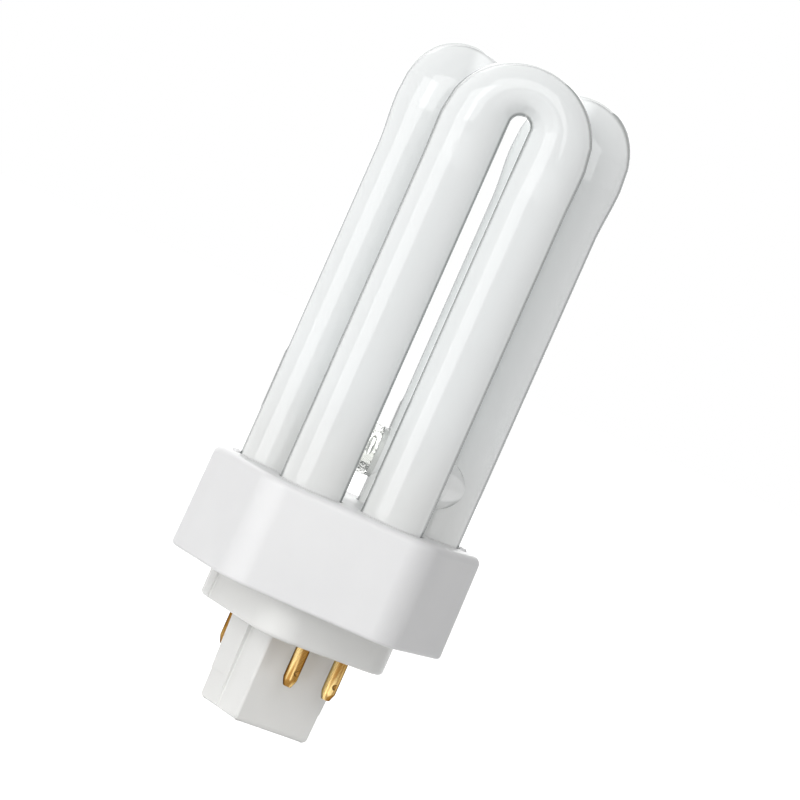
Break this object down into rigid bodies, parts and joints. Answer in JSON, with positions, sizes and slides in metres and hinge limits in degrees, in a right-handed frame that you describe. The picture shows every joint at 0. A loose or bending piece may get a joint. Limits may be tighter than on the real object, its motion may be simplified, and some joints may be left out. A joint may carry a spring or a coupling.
{
  "type": "u shaped fluorescent bulb",
  "caption": "Plug-in fluorescent bulb: white-coated glass U tubes fused by bridges, standing in a moulded collar, with brass contact pins beside a key post.",
  "frame": {"origin": "on the lamp's axis in its seating plane: the centre of the key post's root and of the four contact pins, in the plane of the flange's underside", "axes": "+Z along the lamp's axis towards the crowns of the tubes, -Z the way the pins and the key post go in; Y from one pair of pins to the other; one U tube faces +X"},
  "size_m": [0.044, 0.0488, 0.1183],
  "materials": {
    "coated_glass": "clear glass, coated white inside",
    "collar_plastic": "satin moulded white",
    "cap_plastic": "moulded white",
    "cement": "cast, dull",
    "pin_brass": "turned, bright",
    "lead_wire": "drawn nickel wire"
  },
  "bodies": {
    "root": {"discharge_tube": "coated_glass", "collar": "collar_plastic", "base_cap": "cap_plastic", "basing_cement": "cement", "contact_pin_1": "pin_brass", "contact_pin_2": "pin_brass", "contact_pin_3": "pin_brass", "contact_pin_4": "pin_brass", "lead_wire_1": "lead_wire", "lead_wire_2": "lead_wire", "lead_wire_3": "lead_wire", "lead_wire_4": "lead_wire"}
  },
  "joints": []
}
